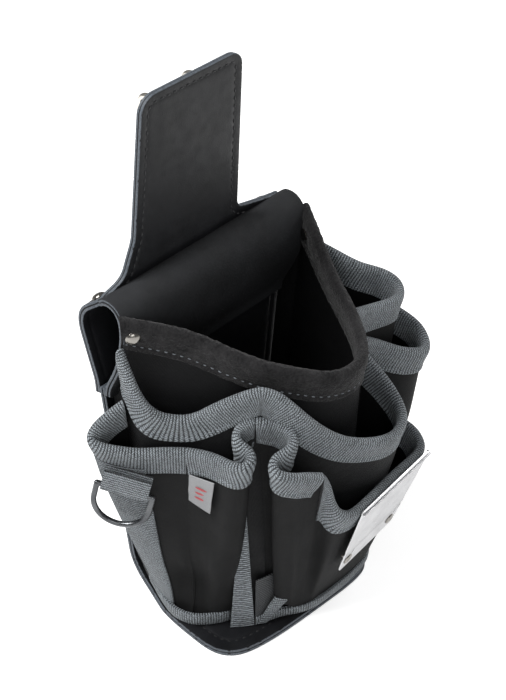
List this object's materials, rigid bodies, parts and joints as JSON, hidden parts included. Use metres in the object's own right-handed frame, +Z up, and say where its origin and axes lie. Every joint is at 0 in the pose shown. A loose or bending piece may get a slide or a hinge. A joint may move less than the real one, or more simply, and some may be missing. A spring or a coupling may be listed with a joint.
{
  "type": "electrician tool pouch",
  "caption": "Open belt tool pouch of leather and bound cloth: eight outside pockets round a main bag, steel tape plate, D-ring, belt tunnel and a leather tongue with a sprung wire belt clip.",
  "frame": {"origin": "on the ground, 55 mm in front of the back panel's inner face, midway between the tunnel's ends; marked by the base_face mount", "axes": "+X to the pouch's right seen from the front, -Y to its front, +Y towards the wearer, +Z up the tongue"},
  "size_m": [0.244, 0.1645, 0.3985],
  "materials": {
    "leather": "satin",
    "cloth": "matt",
    "webbing": "matt",
    "suede": "matt",
    "bright_steel": "satin",
    "nickel_wire": "polished",
    "dark_steel": "satin",
    "mesh": "matt",
    "label": "matt"
  },
  "bodies": {
    "pouch": {"back_base_inner_ply": "leather", "back_base_outer_ply": "leather", "bag_wall": "cloth", "collar_rivet_burrs": "bright_steel", "collar_rivet_caps": "bright_steel", "corner_strip": "webbing", "gusset_mesh": "mesh", "label_tag": "label", "left_hem": "webbing", "lower_front_binding": "webbing", "lower_front_pocket": "cloth", "lower_left_binding": "webbing", "lower_left_pocket": "cloth", "plate_rivets": "bright_steel", "right_hem": "webbing", "ring_loop": "webbing", "ring_strap": "webbing", "shoulder_rivet_burrs": "bright_steel", "shoulder_rivet_caps": "bright_steel", "side_front_binding": "webbing", "side_front_floor": "cloth", "side_front_pocket": "cloth", "side_rear_binding": "webbing", "side_rear_floor": "cloth", "side_rear_pocket": "cloth", "slim_binding": "webbing", "slim_pocket": "cloth", "steel_plate": "bright_steel", "suede_collar": "suede", "tape_binding": "webbing", "tape_pocket": "cloth", "tunnel_rear_wall": "leather", "tunnel_roll": "leather", "upper_left_binding": "webbing", "upper_left_pocket": "cloth", "upper_right_binding": "webbing", "upper_right_pocket": "cloth"},
    "tongue": {"tongue_front_ply": "leather", "tongue_rear_ply": "leather", "clip_legs": "nickel_wire", "clip_keeper": "bright_steel", "clip_rivets": "bright_steel"},
    "clip_spring": {"clip_loop": "nickel_wire"},
    "ring": {"d_ring": "dark_steel"}
  },
  "joints": [
    {"name": "tongue_bend", "type": "hinge", "parent": "pouch", "child": "tongue", "pos_m": [0, 0.0564, 0.26374], "axis": [1, 0, 0], "range_deg": [-25, 35], "stiffness_Nm_per_rad": 0.9},
    {"name": "clip_flex", "type": "hinge", "parent": "tongue", "child": "clip_spring", "pos_m": [-0.013, 0.06799, 0.37248], "axis": [1, 0, 0], "range_deg": [0, 12], "stiffness_Nm_per_rad": 1.5},
    {"name": "ring_swing", "type": "hinge", "parent": "pouch", "child": "ring", "pos_m": [-0.1015, 0.025, 0.136], "axis": [0.5307, -0.8172, -0.225], "range_deg": [-115, 8]}
  ]
}
